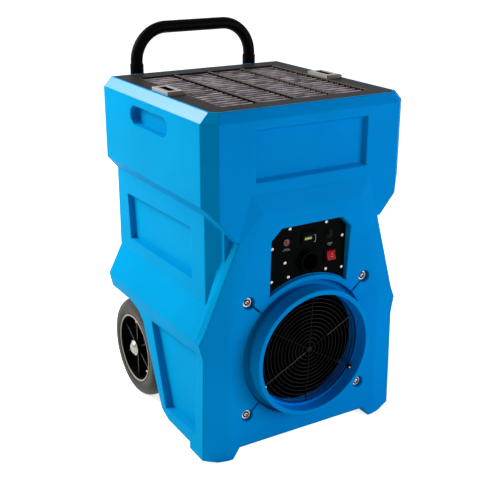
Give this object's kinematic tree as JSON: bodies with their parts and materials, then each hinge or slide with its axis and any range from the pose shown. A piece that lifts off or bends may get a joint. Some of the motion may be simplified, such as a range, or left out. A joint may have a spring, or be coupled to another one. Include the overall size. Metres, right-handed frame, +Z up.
{
  "type": "dehumidifier",
  "caption": "Wheeled moulded cabinet dehumidifier with a top air filter, a front control panel, a round guarded duct outlet and a push handle.",
  "frame": {"origin": "centre of the bounding box's footprint, on the floor", "axes": "+Z up, -Y towards the front with the duct outlet, +X to the right of someone who faces the front"},
  "size_m": [0.534, 0.5799, 0.9208],
  "materials": {
    "blue_plastic": "semi-gloss moulded blue",
    "handle_paint": "satin black powder coat",
    "black_plastic": "satin black",
    "black_paint": "satin black coat",
    "stainless": "brushed stainless sheet",
    "zinc_screw": "bright zinc",
    "chrome": "polished",
    "red_lens": "glossy red lens",
    "red_plastic": "glossy red",
    "green_window": "glossy display window",
    "grey_tyre": "grey rubber",
    "brass": "satin brass",
    "copper": "drawn copper tube",
    "aluminium_fin": "mill finish fins",
    "rubber": "matt black rubber",
    "filter_fabric": "pleated filter fleece"
  },
  "bodies": {
    "cabinet": {"housing": "blue_plastic", "base_pan": "stainless", "base_screws": "zinc_screw", "rear_cover": "blue_plastic", "rear_cover_screws": "zinc_screw", "outlet_collar": "blue_plastic", "collar_screws": "zinc_screw", "collar_washers": "zinc_screw", "wire_guard": "black_paint", "guard_screws": "zinc_screw", "control_panel": "black_paint", "panel_screws": "zinc_screw", "pilot_lamp_bezel": "chrome", "pilot_lamp_lens": "red_lens", "hour_meter_case": "black_plastic", "hour_meter_window": "green_window", "breaker_body": "black_plastic", "switch_bezel": "black_plastic", "power_inlet": "black_plastic", "handle": "handle_paint", "handle_sockets": "handle_paint", "handle_bolts": "zinc_screw", "axle": "zinc_screw", "divider_plate": "stainless", "drain_pan": "black_plastic", "evaporator_coil": "aluminium_fin", "condenser_coil": "aluminium_fin", "compressor": "black_paint", "compressor_feet": "rubber", "suction_pipe": "copper", "discharge_pipe": "copper", "fan_shroud": "black_plastic", "fan_motor": "zinc_screw", "condensate_pump": "black_plastic", "drain_fitting": "brass", "control_box": "black_plastic", "run_capacitor": "zinc_screw", "foot_pads": "rubber"},
    "filter": {"filter_frame": "black_plastic", "filter_slats": "black_plastic", "filter_medium": "filter_fabric", "latch_hinges": "stainless", "latch_strikes": "brass"},
    "latch_left": {"latch_plate_left": "stainless"},
    "latch_right": {"latch_plate_right": "stainless"},
    "wheel_left": {"tyre_left": "grey_tyre", "rim_left": "black_plastic", "bush_left": "brass", "hub_cap_left": "chrome"},
    "wheel_right": {"tyre_right": "grey_tyre", "rim_right": "black_plastic", "bush_right": "brass", "hub_cap_right": "chrome"},
    "impeller": {"fan_impeller": "black_plastic"},
    "rocker": {"switch_rocker": "red_plastic"},
    "button": {"breaker_button": "black_plastic"}
  },
  "joints": [
    {"name": "wheel_left_spin", "type": "hinge", "parent": "cabinet", "child": "wheel_left", "pos_m": [-0.226, 0.146, 0.127], "axis": [1, 0, 0], "continuous": true},
    {"name": "wheel_right_spin", "type": "hinge", "parent": "cabinet", "child": "wheel_right", "pos_m": [0.226, 0.146, 0.127], "axis": [1, 0, 0], "continuous": true},
    {"name": "impeller_spin", "type": "hinge", "parent": "cabinet", "child": "impeller", "pos_m": [0, -0.21, 0.236], "axis": [0, 1, 0], "continuous": true},
    {"name": "rocker_tilt", "type": "hinge", "parent": "cabinet", "child": "rocker", "pos_m": [0.061, -0.247, 0.448], "axis": [1, 0, 0], "range_deg": [0, 24]},
    {"name": "breaker_press", "type": "slide", "parent": "cabinet", "child": "button", "axis": [0, 1, 0], "range_m": [0, 0.002], "stiffness_N_per_m": 300},
    {"name": "filter_lift", "type": "slide", "parent": "cabinet", "child": "filter", "axis": [0, 0, 1], "range_m": [0, 0.15]},
    {"name": "latch_left_swing", "type": "hinge", "parent": "filter", "child": "latch_left", "pos_m": [-0.1947, 0, 0.8043], "axis": [0, 1, 0], "range_deg": [0, 95]},
    {"name": "latch_right_swing", "type": "hinge", "parent": "filter", "child": "latch_right", "pos_m": [0.1947, 0, 0.8043], "axis": [0, -1, 0], "range_deg": [0, 95]}
  ]
}
